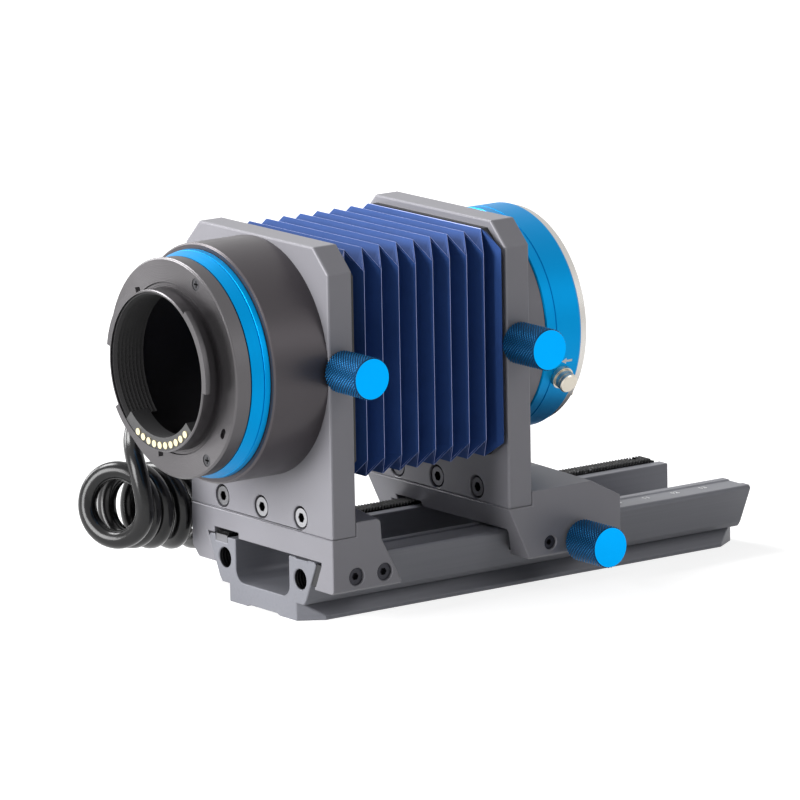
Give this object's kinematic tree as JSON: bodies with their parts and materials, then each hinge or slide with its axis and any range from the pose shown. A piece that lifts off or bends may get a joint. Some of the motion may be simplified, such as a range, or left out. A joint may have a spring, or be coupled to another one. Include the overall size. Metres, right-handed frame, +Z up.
{
  "type": "macro bellows unit",
  "caption": "Pleated bellows between a camera-side mount and a lens-side mount on two standards, with a dovetail rail, clamp knobs and a coiled cable.",
  "frame": {"origin": "middle of the rail's dovetail foot, on the plane that it stands on", "axes": "+X along the optical axis from the camera to the lens, -Y the side with the clamp knobs, +Z up"},
  "size_m": [0.1835, 0.1055, 0.1042],
  "materials": {
    "grey_anodised": "satin anodised",
    "dark_grey_anodised": "satin anodised",
    "black_anodised": "satin anodised",
    "blue_anodised": "satin anodised",
    "bright_metal": "fine turned",
    "steel": "plain",
    "black_steel": "blackened",
    "bronze": "plain",
    "gold_plate": "plated",
    "bellows_cloth": "coated cloth",
    "black_plastic": "matt",
    "cable_jacket": "glossy",
    "black_rubber": "matt"
  },
  "bodies": {
    "rail_and_rear_standard": {"rail": "dark_grey_anodised", "rack": "black_steel", "rack_screws": "black_steel", "rear_carriage": "grey_anodised", "rear_set_screws": "black_steel", "rear_gib": "black_plastic", "rear_plate": "grey_anodised", "rear_plate_screws": "steel", "camera_tube": "black_anodised", "camera_tube_screws": "steel", "rear_cable_gland": "black_rubber", "coiled_cable": "cable_jacket", "rear_bellows_frame": "black_plastic", "bellows": "bellows_cloth"},
    "camera_mount": {"camera_sleeve": "black_anodised", "camera_blue_ring": "blue_anodised", "camera_collar": "black_anodised", "camera_flange": "bright_metal", "camera_flange_screws": "steel", "camera_baffle": "black_plastic", "camera_contact_block": "black_plastic", "camera_contacts": "gold_plate"},
    "rear_clamp": {"rear_clamp_knob": "blue_anodised", "rear_clamp_stud": "steel"},
    "front_standard": {"front_carriage": "grey_anodised", "front_set_screw": "black_steel", "front_gib": "black_plastic", "front_plate": "grey_anodised", "front_plate_screws": "steel", "front_bellows_frame": "black_plastic", "lens_tube": "grey_anodised", "front_cable_gland": "black_rubber", "drive_bush": "bronze"},
    "carriage_clamp": {"carriage_clamp_knob": "blue_anodised", "carriage_clamp_stud": "steel", "carriage_clamp_washer": "bright_metal"},
    "drive": {"pinion": "steel", "pinion_shaft": "steel", "drive_knob": "blue_anodised"},
    "front_clamp": {"front_clamp_knob": "blue_anodised", "front_clamp_stud": "steel"},
    "lens_mount": {"lens_sleeve": "black_anodised", "lens_ring": "blue_anodised", "lens_flange": "bright_metal", "lens_flange_screws": "steel", "bayonet_springs": "steel", "lens_contact_block": "black_plastic", "lens_contacts": "gold_plate", "button_collar": "black_anodised", "button_spring": "steel", "lock_pin_spring": "steel"},
    "release_button": {"release_button": "bright_metal"},
    "lock_pin": {"lock_pin": "steel"}
  },
  "joints": [
    {"name": "camera_mount_turn", "type": "hinge", "parent": "rail_and_rear_standard", "child": "camera_mount", "pos_m": [-0.09, 0, 0.071], "axis": [1, 0, 0], "range_deg": [-90, 90]},
    {"name": "rear_clamp_turn", "type": "hinge", "parent": "rail_and_rear_standard", "child": "rear_clamp", "pos_m": [-0.071, -0.04, 0.071], "axis": [0, -1, 0], "range_deg": [0, 540]},
    {"name": "front_slide", "type": "slide", "parent": "rail_and_rear_standard", "child": "front_standard", "axis": [1, 0, 0], "range_m": [-0.028, 0.052], "deforming": ["bellows", "coiled_cable"]},
    {"name": "carriage_clamp_turn", "type": "hinge", "parent": "front_standard", "child": "carriage_clamp", "pos_m": [0.0082, -0.04, 0.0134], "axis": [0, -1, 0], "range_deg": [0, 540]},
    {"name": "drive_turn", "type": "hinge", "parent": "front_standard", "child": "drive", "pos_m": [0.002, 0.03, 0.0215], "axis": [0, 1, 0], "range_deg": [-536, 995]},
    {"name": "front_clamp_turn", "type": "hinge", "parent": "front_standard", "child": "front_clamp", "pos_m": [-0.0117, -0.04, 0.071], "axis": [0, -1, 0], "range_deg": [0, 540]},
    {"name": "lens_mount_turn", "type": "hinge", "parent": "front_standard", "child": "lens_mount", "pos_m": [0, 0, 0.071], "axis": [1, 0, 0], "range_deg": [-90, 90]},
    {"name": "button_press", "type": "slide", "parent": "lens_mount", "child": "release_button", "axis": [0, 0.9171, 0.3987], "range_m": [0, 0.0015], "stiffness_N_per_m": 500, "deforming": ["button_spring"]},
    {"name": "lock_pin_slide", "type": "slide", "parent": "lens_mount", "child": "lock_pin", "axis": [-1, 0, 0], "range_m": [0, 0.0012], "deforming": ["lock_pin_spring"]}
  ],
  "couplings": [
    {"joint": "drive_turn", "follows": "front_slide", "rad_per_m": 333.33},
    {"joint": "lock_pin_slide", "follows": "button_press", "ratio": 0.8}
  ]
}
